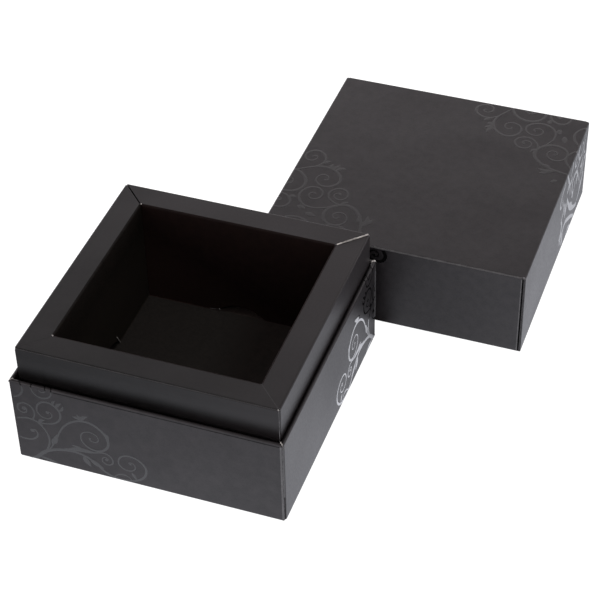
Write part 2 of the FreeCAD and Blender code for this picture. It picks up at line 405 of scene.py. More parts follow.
LID_FRONT_STROKES = [
    (0.8, 1.3, 0.5, [
        (45.4, -8), (45, -2), (44.4, 4), (43.6, 9), (42.4, 14), (40, 19), (36.5, 22.8),
        (32.5, 24.3), (28.3, 23), (25.2, 19.8), (24.2, 15.6), (25.6, 11.6), (28.6, 9.4),
        (32.2, 9.4), (35, 11.6), (35.4, 15), (33.6, 17.8), (30.8, 18.4), (28.7, 16.8), (29, 14.6),
        (30.8, 13.9), (31.8, 15.2)]),
    (0.6, 1.1, 0.5, [
        (1.2, 42.6), (4, 44.6), (10, 48), (15, 48.7), (20, 46.8), (23, 43), (23.5, 39), (21, 35.6),
        (17, 34.6), (13.6, 36.6), (12.6, 40), (14.4, 42.8), (17.2, 42.4), (18, 40), (16.4, 38.8)]),
    (0.6, 1.0, 0.5, [
        (9.6, 48), (11.6, 51), (12, 54.5), (10, 58), (6.5, 59.6), (3, 57.8), (2, 54.4), (3.6, 51.8),
        (6.6, 51.8), (8, 54), (6.8, 55.8), (5.2, 55)]),
    (0.6, 0.9, 0.5, [
        (31, 23.6), (27, 24.2), (23.6, 26.4), (21.9, 29.6), (22.6, 33), (25.6, 35.2), (28.8, 34.4),
        (30.6, 31.4), (29.8, 28.4), (27, 27.2), (24.8, 28.6), (24.9, 31), (26.6, 31.8),
        (27.6, 30.6)]),
    (0.6, 1.0, 0.5, [
        (27, 22.4), (23.4, 19.8), (19, 18.2), (14.4, 18.6), (10.9, 21.2), (9.2, 25.2), (9.9, 29.4),
        (12.6, 32.4), (16.2, 32.6), (18.9, 30), (19, 26.6), (16.8, 24.4), (14.2, 25), (13.4, 27.4),
        (15, 29), (16.4, 28)]),
    (0.6, 1.1, 0.5, [
        (4.6, -9), (3.4, -3.6), (4.4, 2.8), (7.8, 7.6), (13, 9.7), (18.2, 8.2), (21.4, 4.4),
        (22.2, -0.6), (20, -5.4), (15.6, -7.8), (10.8, -6.6), (8.2, -2.8), (8.8, 1.2), (12, 3.6),
        (15.4, 2.6), (16.6, -0.4), (14.8, -2.8), (12.6, -1.8)]),
    (0.7, 1.0, 0.5, [
        (22, 1), (25.4, 5.8), (30, 8.8), (35.2, 8.6), (38.8, 5.2), (38.8, 0.2), (35.6, -3),
        (31.4, -2.2), (30.2, 1.2), (32.4, 3.8), (35, 2.6), (34.6, 0.6)]),
    (0.7, 1.2, 0.5, [
        (45.2, -6.8), (47, -3.4), (49.8, -0.7), (53.4, 0.6), (56.8, -0.4), (58.4, -3.4),
        (57.2, -6.4), (54, -7.4), (51.2, -5.9), (50.7, -3.2), (52.6, -1.5), (54.9, -2.2),
        (55.1, -4.2), (53.5, -4.9)]),
    (1.8, 1.2, 0.6, [
        (1, -41), (4, -39), (8, -36.4), (13, -33.6), (18, -29), (21.4, -23.4), (24.8, -18.2),
        (29.8, -14.8), (36, -13.2), (41.6, -11), (45, -7)]),
    (0.7, 1.2, 0.5, [
        (24, -19.4), (29, -20.4), (34.6, -19.4), (39.4, -21.4), (41.8, -26), (40.6, -30.8),
        (36.2, -33.4), (31.4, -32), (29.2, -27.8), (31, -24.2), (34.6, -23.8), (37, -26.4),
        (36, -29.4), (33.4, -29.4)]),
    (0.8, 1.2, 0.5, [
        (13.2, -33.4), (19.4, -36.6), (26.6, -38.6), (34, -38.8), (41, -37.4), (46.6, -33.6),
        (48.8, -28.2), (47, -23), (42.6, -21), (38.8, -23)]),
    (0.7, 1.1, 0.5, [
        (18.6, -28.2), (14, -26.6), (9.6, -27.4), (6, -24.4), (5.2, -19.6), (7.8, -15.4),
        (12.6, -14.2), (16.6, -16.8), (17.2, -21.2), (14.2, -23.8), (10.8, -22.8), (9.8, -19.8),
        (11.8, -18)]),
    (0.5, 0.9, 0.4, [
        (28, -15.4), (26.2, -11.2), (27, -7.4), (30.4, -6), (33, -8), (32, -10.8), (29.8, -10.2)]),
    (0.5, 0.8, 0.4, [
        (38.4, -12.2), (41.2, -15.4), (45.4, -16), (48, -13.2), (46.6, -10.2), (44, -11.2)]),
]
LID_FRONT_LEAVES = [
    (1.05, [(43.4, 11.8), (44.6, 16), (43.8, 20.2)]),
    (0.8, [(42.4, 14.6), (40.8, 16.2), (39.8, 18.6)]),
    (0.85, [(44.2, 14.8), (46, 16.2), (46.8, 18.6)]), (1.0, [(11, 17.4), (13.2, 17.1), (15, 16)]),
    (1.0, [(16, 14), (18.8, 13.2), (21.4, 12.4)]), (0.9, [(17.4, 47.8), (16.4, 50), (16.8, 52)]),
    (0.9, [(19.4, 47.6), (21, 49.4), (23.8, 50)]), (0.8, [(18.4, 48), (19, 50.2), (20.4, 52)]),
    (0.9, [(11.8, 50.8), (13, 52.4), (15, 53.6)]),
    (0.7, [(29.6, 23.6), (30.6, 25.4), (32.6, 26.6)]),
    (1.1, [(21.6, -23.6), (20.4, -19.6), (21.8, -15.8)]),
    (1.0, [(24.6, -18.4), (22.6, -14.6), (22.8, -11)]),
    (1.0, [(40, -37.2), (43.4, -36), (46.8, -36.6)]),
    (0.9, [(30, -38.6), (32.6, -36.4), (35.8, -35.8)]),
    (0.9, [(49, -28), (51, -26), (51.4, -23.2)]), (0.9, [(47.6, -32.4), (50.4, -32), (52.8, -30)]),
    (0.8, [(36.4, -13), (38.2, -9.6), (41.2, -8.2)]),
    (0.9, [(3.2, -9.6), (2.8, -13.4), (4, -16.6)]),
]
LID_FRONT_DOTS = [
    (0.6, (31.4, 15)), (0.6, (16.6, 39.4)), (0.6, (5.6, 55)), (0.7, (26.8, 31)),
    (0.6, (15.8, 28.2)), (0.8, (12.9, -1.4)), (0.7, (34.4, 1)), (0.8, (53, -4.2)),
    (0.8, (34, -29.2)), (0.7, (11.6, -18.4)), (0.6, (30, -9.8)),
]
LID_SIDE_STROKES = [
    (0.6, 1.2, 0.5, [
        (-9, 33), (-8, 38), (-4, 42), (0, 42.9), (4.4, 41.4), (7.8, 37.8), (9, 33.4), (7.6, 29.2),
        (4.4, 26.8), (0.4, 26.6), (-2.8, 28.6), (-3.8, 32), (-2.6, 35.4), (0.4, 36.6), (2.8, 34.8),
        (2.4, 32), (0.2, 31.6)]),
    (0.6, 1.0, 0.5, [
        (-8, 20.4), (-3.2, 23.6), (1, 24.1), (4.8, 22.6), (6.8, 19.2), (5.8, 15.6), (2.4, 14),
        (-0.8, 15.2), (-1.8, 18.4), (0, 20.8), (2.2, 20.4)]),
    (0.7, 1.1, 0.5, [
        (-9, 33.4), (-13.4, 36.8), (-18.4, 36.6), (-22, 32.8), (-21.8, 27.6), (-18, 24.4),
        (-13.6, 25.4), (-11.8, 29.4), (-14, 32.6), (-17.4, 31.8), (-17.8, 28.8)]),
    (1.4, 1.1, 0.7, [
        (-38, 7.4), (-33, 8.6), (-27.4, 11.6), (-21, 14.4), (-14, 16.4), (-8, 20.4)]),
    (0.7, 1.1, 0.5, [
        (-28, 11.2), (-31.6, 15.6), (-32.4, 21), (-29.4, 25.4), (-32.6, 30), (-37, 32.6)]),
    (0.7, 1.2, 0.5, [
        (-31.4, 22), (-35.4, 24.6), (-39.4, 22.8), (-40.4, 18.6), (-37.4, 15.6), (-34.2, 17.4),
        (-34.8, 20.4)]),
    (0.6, 1.0, 0.5, [
        (-12, 36.2), (-14.6, 41.4), (-13.2, 47), (-8.6, 50.2), (-3.2, 49.4), (-0.8, 45.6)]),
    (0.6, 1.0, 0.5, [
        (-20.6, 14.6), (-18.4, 9.4), (-13.4, 7), (-8.4, 8.8), (-6.8, 13), (-9.4, 16), (-12.8, 14.8),
        (-12.6, 11.8)]),
]
LID_SIDE_LEAVES = [
    (0.9, [(5.2, 22.4), (6.6, 23.4), (8.4, 22.8)]),
    (1.0, [(-21.6, 33.6), (-25, 34.6), (-27.6, 37.4)]), (0.9, [(-20, 36), (-21.6, 39), (-21, 42)]),
    (1.0, [(-13.6, 46.4), (-17, 48), (-19, 51)]),
    (0.9, [(-12.4, 48), (-13.6, 51.4), (-12.6, 54.4)]),
    (0.9, [(-33.6, 31), (-33.4, 34.8), (-36, 38)]), (1.0, [(-24.4, 13), (-26, 16.8), (-25, 20.4)]),
]
LID_SIDE_DOTS = [
    (1.1, (1.6, 19.6)), (0.8, (1.6, 33)), (0.7, (-16.4, 29.4)), (0.6, (-34.6, 19.2)),
    (0.6, (-11.6, 12.4)),
]
LID_FAR_LEAVES = [
    (0.9, [(50, 9.2), (51, 10.6), (52.4, 12)]),
]
# On the lid's right wall x runs from its rear corner to the front, and y is the height.
LID_WALL_STROKES = [
    (1.2, 1.5, 0.9, [
        (18.7, 42.9), (20.4, 40.5), (20.3, 37.6), (18.7, 34.3), (15.6, 32.6), (12.1, 33.4),
        (10.1, 36), (11.2, 38.6), (13.7, 38.7), (15.1, 36.6)]),
    (1.0, 1.2, 0.8, [
        (5.4, 42.9), (7.5, 41.3), (9.5, 40.4), (11.1, 38.9)]),
    (1.0, 1.6, 1.0, [
        (1.5, 37), (2.3, 34.2), (2.1, 31.6), (2, 29), (3, 26.8)]),
    (1.2, 1.6, 1.2, [
        (13.8, 32.5), (15.3, 32.2), (18.1, 31.6), (20.6, 30.5), (22.9, 29.7)]),
    (1.6, 2.0, 1.4, [
        (4.1, 25.7), (5.3, 23.7), (6.5, 21.8), (7.7, 19.9), (7.7, 17.6)]),
    (1.0, 1.8, 1.0, [
        (15.6, 19.3), (18, 24.1), (22.1, 29.3), (26.1, 30.3), (29.1, 29.6), (30.6, 27.7),
        (30.4, 23.9), (28.4, 21.1), (25.9, 21.3), (24.6, 23.5), (24.9, 25.8)]),
    (1.8, 2.6, 1.4, [
        (5.4, 17.3), (6.7, 15), (8.3, 13), (10.7, 11), (12.9, 8.7), (15.6, 6.8)]),
    (1.4, 1.6, 1.0, [
        (33.4, 42.9), (32.9, 42.2), (32.7, 40), (34, 37.8), (36.4, 36.4)]),
    (1.3, 1.7, 1.0, [
        (43.9, 42.8), (43.5, 41.7), (41.2, 38), (37.9, 33.2), (35.4, 27.6), (35, 25)]),
    (1.3, 1.6, 1.0, [
        (47.7, 41.4), (49.4, 39.3), (51.5, 38.6), (53.9, 37.4), (55.6, 35.1), (55.9, 32.6),
        (53.8, 30.7), (51.4, 31.7), (51.6, 34.1)]),
    (1.4, 2.6, 2.0, [
        (40.8, 26.4), (37.2, 21.1), (30.8, 14), (23, 8.6), (16.4, 5.6)]),
    (1.4, 1.8, 1.0, [
        (44.7, 26.7), (44.5, 24.4), (44.9, 22.9), (46.2, 21.2)]),
    (1.4, 2.2, 2.0, [
        (21.2, 2.1), (28.3, 6.8), (34, 9.7), (39.5, 12.3), (42.6, 12.5), (44.6, 11.7), (46, 9.7),
        (45.9, 6.6), (46.2, 3.4)]),
    (1.2, 1.5, 1.0, [
        (28.1, 0.9), (31.2, 2.8), (34.3, 3), (37.2, 1.4)]),
    (1.2, 1.6, 1.0, [
        (3, 42.5), (4.5, 39.5), (7, 37), (8.5, 33.5), (7, 30), (4.6, 28.6)]),
    (1.2, 1.8, 1.0, [
        (9, 31), (10.5, 27.5), (9.8, 23.5), (12.3, 20.5), (13.5, 16)]),
    (1.0, 1.6, 1.0, [
        (24.5, 41.5), (26.8, 39), (27, 35.8), (24.6, 34), (22.6, 35.6)]),
    (1.2, 1.6, 1.0, [
        (48.5, 30), (47.2, 26), (49, 22.5), (52, 20.5)]),
    (1.2, 1.8, 1.2, [
        (50.6, 20.4), (49, 16.5), (50.4, 12.5), (53.4, 10.6)]),
]
LID_WALL_LEAVES = [
    (1.3, [(1.1, 24.9), (3.6, 25.2), (7, 26.4)]), (1.4, [(28.6, 21.3), (28.3, 19.6), (27.8, 17.7)]),
    (1.9, [(32.8, 17.9), (29.9, 14.1), (26, 11.6)]), (1.3, [(45.7, 7.1), (46.2, 4.9), (46.6, 2.3)]),
    (1.3, [(7.3, 15.4), (9.6, 13.2), (12.6, 11.6)]),
    (1.2, [(14.4, 26.4), (11.6, 25.7), (8.5, 27.6)]),
    (1.2, [(19.1, 27.2), (20.6, 23.6), (20.5, 20.2)]),
    (1.2, [(37.1, 31.3), (33.7, 32), (31.1, 33.7)]),
    (1.2, [(38.7, 34.4), (40.6, 31.5), (43.1, 30.3)]),
    (1.3, [(40.6, 24.6), (42.8, 20.6), (43.4, 16.8)]),
    (1.3, [(47.4, 12.4), (50.2, 9.2), (51.6, 5.4)]),
    (1.2, [(17.2, 41.8), (22.2, 38.8), (24, 37.4)]),
]
LID_FRONT_MOTIF = (LID_FRONT_STROKES, LID_FRONT_LEAVES, LID_FRONT_DOTS)
LID_FAR_MOTIF = (LID_FRONT_STROKES, LID_FRONT_LEAVES + LID_FAR_LEAVES, LID_FRONT_DOTS)
LID_SIDE_MOTIF = [[(*entry[:-1], [(y, x) for x, y in entry[-1]]) for entry in part]
                  for part in (LID_SIDE_STROKES, LID_SIDE_LEAVES)]
LID_SIDE_MOTIF.append([(radius, (y, x)) for radius, (x, y) in LID_SIDE_DOTS])
LID_WALL_MOTIF = (LID_WALL_STROKES, LID_WALL_LEAVES, [])
LID_BOLD = 1.4         # the lid's strokes are this much wider than the tray's
LID_WALL_BOLD = 1.12   # and those of its right wall
TRAY_SIDE_SHIFT = 4.5  # how far the ornament is moved over its corner on the tray's sides, in mm
FAR_SHIFT = 5.5        # and at the lid's rear right corner


def flowing_line(points, step=STEP):
    """Evenly spaced points of a smooth line through the given ones."""
    ends = [tuple(2 * a - b for a, b in zip(points[0], points[1]))] + list(points)
    ends.append(tuple(2 * a - b for a, b in zip(points[-1], points[-2])))
    dense = []
    for p0, p1, p2, p3 in zip(ends, ends[1:], ends[2:], ends[3:]):
        for k in range(BETWEEN):
            s = k / BETWEEN
            dense.append(Vector([0.5 * (2 * b + (c - a) * s + (2 * a - 5 * b + 4 * c - d) * s ** 2
                                        + (3 * b - a - 3 * c + d) * s ** 3)
                                 for a, b, c, d in zip(p0, p1, p2, p3)]))
    dense.append(Vector(points[-1]))
    along = [0.0]
    for a, b in zip(dense, dense[1:]):
        along.append(along[-1] + (b - a).length)
    count = max(4, round(along[-1] / step))
    line, k = [], 0
    for n in range(count + 1):
        target = along[-1] * n / count
        while k < len(dense) - 2 and along[k + 1] < target:
            k += 1
        share = (target - along[k]) / max(along[k + 1] - along[k], 1e-9)
        line.append(dense[k].lerp(dense[k + 1], min(1.0, share)))
    return line


def tube(first, rings, sides):
    """Faces of a closed tube of point rings, which start at the first point's number."""
    faces = []
    for n in range(rings - 1):
        a, b = first + sides * n, first + sides * (n + 1)
        faces += [(a + k, a + (k + 1) % sides, b + (k + 1) % sides, b + k) for k in range(sides)]
    faces.append(tuple(range(first + sides - 1, first - 1, -1)))
    faces.append(tuple(first + sides * (rings - 1) + k for k in range(sides)))
    return faces


class Sheet:
    """Skin of one wall and what it folds into: flat distances in, points in space out."""

    def __init__(self, wall, height, low_radius, top_radius, top_turn, shift, origin_v, limits):
        self.corner, self.along, self.inward = (Vector(part) for part in wall)
        self.height, self.low_radius, self.top_radius = height, low_radius, top_radius
        self.top_turn, self.shift, self.origin_v = top_turn, shift, origin_v
        self.limits = limits

    def flat(self, x, y):
        return x - self.shift[0], y - self.shift[1] + self.origin_v

    def holds(self, x, y):
        return self.limits(*self.flat(x, y))

    def place(self, x, y, out):
        u, v = self.flat(x, y)
        top = self.height - self.top_radius
        if v < self.low_radius:
            turn = (self.low_radius - v) / self.low_radius
            a = self.low_radius - (self.low_radius + out) * math.cos(turn)
            z = self.low_radius - (self.low_radius + out) * math.sin(turn)
        elif v <= top:
            a, z = -out, v
        else:
            turn = min((v - top) / self.top_radius, self.top_turn)
            a = self.top_radius - (self.top_radius + out) * math.cos(turn)
            z = top + (self.top_radius + out) * math.sin(turn)
            a += max(0.0, v - top - self.top_turn * self.top_radius)
        ground = self.corner + u * self.along + a * self.inward
        return Vector((ground.x, ground.y, z)) * MM


# Limits of the gloss on each sheet, in mm: u runs along the wall, v up it and over its top
WALL_START = 1.0               # the gloss starts this far from a wall's corner
TRAY_END, LID_END = 118.8, 119.0
TRAY_FOOT, LID_FOOT = 0.15, 0.1
RIM_LINE = 42.6                # where the wall's gloss gives way to the rim's
RIM_END = 45.5                 # how far it goes round the rolled rim
RIM_MITRE = 2.6                # on the rim it starts this far from the corner
LID_CORNER = 2.0               # and on the lid's walls, below the top, this far
# Above this line the tray's right wall gets the painted dark reflection of the lid.
MIRROR_SLOPE, MIRROR_START = 1.07, 9   # line above which the tray's right wall mirrors the lid


def tray_limits(u, v):
    on_wall = WALL_START < u < TRAY_END and TRAY_FOOT < v < RIM_END
    return on_wall and (v < TRAY_HEIGHT - RIM or u > RIM_MITRE)


def tray_wall_limits(u, v):
    return tray_limits(u, v) and v <= RIM_LINE


def tray_rim_limits(u, v):
    return tray_limits(u, v) and v > RIM_LINE


def mirrors_lid(u, v):
    """Whether the tray's right wall shows the dark lid at this place, as the photo does: there its
    strokes get the near-black copy, a painted dark reflection.
    """
    return MIRROR_SLOPE * v - u > MIRROR_START


def tray_open_limits(u, v):
    return tray_limits(u, v) and not mirrors_lid(u, v)


def tray_shaded_limits(u, v):
    return tray_limits(u, v) and mirrors_lid(u, v)


def lid_limits(u, v):
    return WALL_START < u < LID_END and v > LID_FOOT and (v > UNFOLDED_TOP or u > LID_CORNER)


def lid_lower_limits(u, v):
    return lid_limits(u, v) and v <= LID_TURN


def lid_top_limits(u, v):
    return WALL_START < u < LID_END and v > LID_TURN


def lid_wall_limits(u, v):
    return WALL_START < u < LID_END and LID_FOOT < v < LID_HEIGHT - LID_FOOT


# Section of a ribbon of gloss: share of half its width, and height over the card
RIBBON = ((1, -SINK), (1, LIFT * 0.5), (0, LIFT), (-1, LIFT * 0.5), (-1, -SINK))


class Gloss:
    """Closed ribbons, leaves and dots of gloss, gathered into one mesh."""

    def __init__(self, sheet, bold):
        self.sheet, self.bold, self.points, self.faces = sheet, bold, [], []

    def runs(self, line, widths):
        """The stretches of a line that lie within the sheet's limits."""
        run = []
        for point, width in zip(line, widths):
            if self.sheet.holds(*point):
                run.append((point, width))
                continue
            if len(run) >= SHORTEST:
                yield run
            run = []
        if len(run) >= SHORTEST:
            yield run

    def ribbon(self, line, widths):
        for run in self.runs(line, widths):
            first = len(self.points)
            for n, (point, width) in enumerate(run):
                before, after = run[max(n - 1, 0)][0], run[min(n + 1, len(run) - 1)][0]
                ahead = (after - before).normalized()
                side = Vector((-ahead.y, ahead.x)) * (width / 2)
                for share, out in RIBBON:
                    self.points.append(self.sheet.place(*(point + side * share), out))
            self.faces += tube(first, len(run), len(RIBBON))

    def stroke(self, start, middle, end, points):
        line = flowing_line(points)
        widths = []
        for n in range(len(line)):
            s = n / (len(line) - 1)
            swell = math.sin(math.pi * min(1.0, s * 1.1)) ** 2
            widths.append(self.bold * ((start * (1 - s) + end * s) * (1 - swell) + middle * swell))
        self.ribbon(line, widths)

    def leaf(self, half_width, points):
        line = flowing_line(points, LEAF_STEP)
        count = len(line) - 1
        half_width *= self.bold
        self.ribbon(line, [2 * half_width * max(0.06, math.sin(math.pi * (n / count) ** 0.8))
                           for n in range(count + 1)])

    def dot(self, radius, centre):
        if not self.sheet.holds(*centre):
            return
        turns = [2 * math.pi * k / DOT_SIDES for k in range(DOT_SIDES)]
        ring = [Vector(centre) + radius * Vector((math.cos(t), math.sin(t))) for t in turns]
        first = len(self.points)
        for out in (-SINK, LIFT * 0.9):
            self.points += [self.sheet.place(*p, out) for p in ring]
        self.faces += tube(first, 2, DOT_SIDES)


def finished(name, mesh, body, material):
    """A closed mesh made into a piece that rides on a body."""
    shell = bmesh.new()
    shell.from_mesh(mesh)
    bmesh.ops.recalc_face_normals(shell, faces=shell.faces)
    shell.to_mesh(mesh)
    shell.free()
    mesh.materials.append(material)
    made = bpy.data.objects.new(name, mesh)
    bpy.context.scene.collection.objects.link(made)
    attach(made, body)


def closed_piece(name, points, faces, body, material):
    mesh = bpy.data.meshes.new(name)
    mesh.from_pydata(points, [], faces)
    finished(name, mesh, body, material)


def scrollwork(name, body, sheet, motif, bold, material):
    gloss = Gloss(sheet, bold)
    for draw, entries in zip((gloss.stroke, gloss.leaf, gloss.dot), motif):
        for entry in entries:
            draw(*entry)
    closed_piece(name, gloss.points, gloss.faces, body, material)


def walls_between(near, far):
    """Each wall of a square box: the corner it starts from, the way along it and the way in."""
    return {"front": (near, (1, 0), (0, 1)), "left": (near, (0, 1), (1, 0)),
            "right": (far, (0, -1), (-1, 0)), "rear": (far, (-1, 0), (0, -1))}


TRAY_WALLS = walls_between((-TRAY_HALF, -TRAY_HALF), (TRAY_HALF, TRAY_HALF))
LID_WALLS = walls_between(tuple(c - LID_SIDE / 2 for c in LID_CENTRE),
                          tuple(c + LID_SIDE / 2 for c in LID_CENTRE))

# On the tray's right wall and front rim the strokes' colour is painted reflection: light where they
# mirror the floor, near black on the rim and where they mirror the lid.
for name, wall, shift, limits, material in (
        ("front", "front", 0.0, tray_wall_limits, varnish_material),
        ("front_rim", "front", 0.0, tray_rim_limits, shaded_varnish_material),
        ("left", "left", TRAY_SIDE_SHIFT, tray_limits, varnish_material),
        ("right", "right", TRAY_SIDE_SHIFT, tray_open_limits, lit_varnish_material),
        ("right_shaded", "right", TRAY_SIDE_SHIFT, tray_shaded_limits, shaded_varnish_material),
        ("rear", "rear", 0.0, tray_limits, varnish_material)):
    sheet = Sheet(TRAY_WALLS[wall], TRAY_HEIGHT, FOLD, RIM, math.pi, (shift, 0.0), 0.0, limits)
    scrollwork(f"tray_{name}_scrolls", "tray", sheet, TRAY_MOTIF, 1.0, material)

# Below the top, the lid's front wall gets the darker copy of the gloss, a painted dark reflection
# of the tray.
for name, wall, shift, origin, limits, motif, bold, material in (
        ("front", "front", (0.0, 0.0), UNFOLDED_TOP, lid_top_limits,
         LID_FRONT_MOTIF, LID_BOLD, varnish_material),
        ("front_wall", "front", (0.0, 0.0), UNFOLDED_TOP, lid_lower_limits,
         LID_FRONT_MOTIF, LID_BOLD, lid_shade_varnish_material),
        ("left", "left", (0.0, 0.0), UNFOLDED_TOP, lid_limits,
         LID_SIDE_MOTIF, LID_BOLD, varnish_material),
        ("right", "right", (0.0, FAR_SHIFT), UNFOLDED_TOP, lid_top_limits,
         LID_FAR_MOTIF, LID_BOLD, varnish_material),
        ("right_wall", "right", (0.0, 0.0), 0.0, lid_wall_limits,
         LID_WALL_MOTIF, LID_WALL_BOLD, wall_varnish_material),
        ("rear", "rear", (FAR_SHIFT, 0.0), UNFOLDED_TOP, lid_limits,
         LID_SIDE_MOTIF, LID_BOLD, varnish_material)):
    sheet = Sheet(LID_WALLS[wall], LID_HEIGHT, RIM, FOLD, math.pi / 2, shift, origin, limits)
    scrollwork(f"lid_{name}_scrolls", "lid", sheet, motif, bold, material)


# ---------------------------------------------------------------- raw edges, frayed bits, painted highlights and painted shade
RIDGE_STEP = 0.8       # distance between the sections of a ridge, in mm
ROOT = 0.12            # how far a ridge reaches into the card


def ridge(name, body, start, end, width, low, high, seed, material, up):
    """Thin uneven ridge on the card, in mm, whose height goes from low to high on the way."""
    start, end, up = Vector(start), Vector(end), Vector(up).normalized()
    side = up.cross((end - start).normalized()).normalized()
    chance = random.Random(seed)
    count = max(4, round((end - start).length / RIDGE_STEP))
    points = []
    for n in range(count + 1):
        share = n / count
        rise = (low + (high - low) * share) * chance.uniform(0.75, 1.15)
        half = width * chance.uniform(0.4, 0.55)
        centre = start.lerp(end, share)
        section = ((-half, -ROOT), (-half * 0.8, rise * 0.8), (0, rise),
                   (half * 0.8, rise * 0.7), (half, -ROOT))
        points += [(centre + side * across + up * proud) * MM for across, proud in section]
    closed_piece(name, points, tube(0, count + 1, len(section)), body, material)


def crumb(name, body, place, size, material):
    """Small torn crumb of the card: the hull of a few scattered points, in mm."""
    chance = random.Random(sum(map(ord, name)))
    shell = bmesh.new()
    for k in range(18):
        ray = Vector([chance.gauss(0, 1) for axis in range(3)]).normalized()
        ray *= chance.uniform(0.75, 1.0)
        shell.verts.new([(c + s * r) * MM for c, s, r in zip(place, size, ray)])
    hull = bmesh.ops.convex_hull(shell, input=shell.verts)
    loose = {part for part in hull["geom_interior"] + hull["geom_unused"]
             if isinstance(part, bmesh.types.BMVert)}
    bmesh.ops.delete(shell, geom=list(loose), context="VERTS")
    mesh = bpy.data.meshes.new(name)
    shell.to_mesh(mesh)
    shell.free()
    finished(name, mesh, body, material)


UP, FRONT, RIGHT, CORNER = (0, 0, 1), (0, -1, 0), (1, 0, 0), (0.7, -0.7, 0)
# The lighter ridges along folds, rims, mitres and corner ends are painted highlights. The
# near-black ridges in the slits and below the front rim are painted shade.
# For each ridge its start and end, width, height at both, seed, material, and the way it faces
for entry in (
        ("frame_rear_right_raw_edge", "insert", (46.5, 46.3, 60), (57.1, 56.9, 60),
         0.75, 0.35, 0.5, 1, core_material, UP),
        ("rim_front_right_raw_edge", "tray", (58.3, -58.3, 43.95), (59.5, -59.5, 43.75),
         0.5, 0.3, 0.3, 2, core_material, UP),
        ("rim_front_left_raw_edge", "tray", (-58.3, -58.3, 43.95), (-59.5, -59.5, 43.75),
         0.5, 0.25, 0.3, 3, core_material, UP),
        ("rim_rear_right_raw_edge", "tray", (58.3, 58.3, 43.95), (59.6, 59.6, 43.7),
         0.9, 0.4, 0.5, 4, core_material, UP),
        ("frame_front_left_glue_line", "insert", (-45.0, -45.1, 60), (-56.2, -56.3, 60),
         0.4, 0.03, 0.03, 5, matt_card, UP),
        ("frame_front_right_glue_line", "insert", (46.0, -45.1, 60), (57.2, -56.3, 60),
         0.4, 0.03, 0.03, 6, faint_highlight_material, UP),
        ("tray_front_right_rubbed_end", "tray", (59.0, -60, 1.2), (58.9, -60, 42.9),
         1.0, 0.03, 0.03, 7, fold_highlight_material, FRONT),
        ("tray_front_right_open_slit", "tray", (59.72, -59.5, 1.0), (59.72, -59.4, 14),
         0.36, 0.06, 0.04, 8, crease_material, CORNER),
        ("tray_front_rubbed_rim", "tray", (-38, -59.55, 43.78), (58.4, -59.55, 43.78),
         0.42, 0.03, 0.03, 10, fold_highlight_material, (0, -0.5, 0.87)),
        ("tray_front_rim_crease", "tray", (-40, -60, 42.7), (58.4, -60, 42.7),
         0.6, 0.02, 0.02, 13, crease_material, FRONT),
        ("insert_front_rubbed_fold", "insert", (-55.9, -56.72, 59.83), (56.9, -56.72, 59.83),
         0.35, 0.03, 0.04, 11, faint_highlight_material, (0, -0.6, 0.8)),
        ("tray_front_right_closed_slit", "tray", (59.72, -59.45, 14), (59.72, -59.45, 42.9),
         0.55, 0.02, 0.05, 21, fold_highlight_material, CORNER),
        ("tray_rear_right_rubbed_fold", "tray", (60, 58.5, 42.6), (60, 58.7, 12),
         1.8, 0.03, 0.04, 22, fold_highlight_material, RIGHT),
        ("rear_notch_torn_fibre", "insert", (-16.4, 45.7, 7.5), (-10.6, 45.6, 7.9),
         0.3, 0.03, 0.1, 15, worn_material, (0, -1, 0.5)),
        ("left_notch_torn_fibre", "insert", (-44.4, 9.4, 12.3), (-44.1, 11.4, 7.5),
         0.45, 0.05, 0.2, 14, core_material, RIGHT),
        ("lid_front_rubbed_fold", "lid", (4.5, 69.25, 42.98), (123.3, 69.25, 42.98),
         0.75, 0.03, 0.03, 12, fold_highlight_material, (0, -0.7, 0.7)),
        ("lid_front_right_rubbed_end", "lid", (122.95, 69.0, 1.0), (123.1, 69.0, 42.4),
         0.5, 0.03, 0.03, 9, fold_highlight_material, FRONT),
        ("lid_front_right_open_slit", "lid", (123.62, 69.0, 0.9), (123.72, 69.0, 42.3),
         0.62, 0.02, 0.03, 23, slit_material, FRONT),
        ("lid_front_right_rubbed_bend", "lid", (124.64, 69.26, 1.2), (124.64, 69.26, 42.2),
         0.8, 0.02, 0.03, 24, faint_highlight_material, CORNER)):
    ridge(*entry)

for entry in (
        ("frame_front_left_crumb", "insert", (-44.9, -45.2, 60.0), (0.5, 0.4, 0.2), core_material),
        ("frame_rear_left_crumb", "insert", (-44.6, 46.2, 59.9), (0.4, 0.5, 0.25), core_material),
        ("frame_front_right_crumb", "insert", (57.2, -56.6, 59.8), (0.45, 0.4, 0.4),
         core_material),
        ("rear_notch_crumb", "insert", (-10.0, 45.7, 8.4), (0.6, 0.4, 0.5), core_material),
        ("lid_front_right_crumb", "lid", (123.9, 69.5, 42.7), (0.45, 0.4, 0.35), worn_material)):
    crumb(*entry)


# ---------------------------------------------------------------- floor, light and camera
# Levels of the surround by the height of the direction, from the horizon to overhead, and of
# the floor by the distance from its centre, in m
SURROUND = [(0.0, 1.60), (0.30, 1.45), (0.50, 0.94), (0.64, 0.525), (0.76, 0.28), (0.90, 0.11),
            (1.0, 0.085)]
SURROUND_TINT = (1.03, 0.972, 1.0)
SURROUND_TURN = -0.30          # how much dimmer the surround is to the right
TABLE_CENTRE = (0.085, 0.04, 0.0)
TABLE_GLOW = [(0.0, 0.98), (0.06, 1.14), (0.12, 1.12), (0.165, 0.92), (0.25, 0.46), (0.33, 0.50),
              (0.45, 0.90), (1.0, 1.2)]
TABLE_TINT = (0.965, 0.98, 1.055)
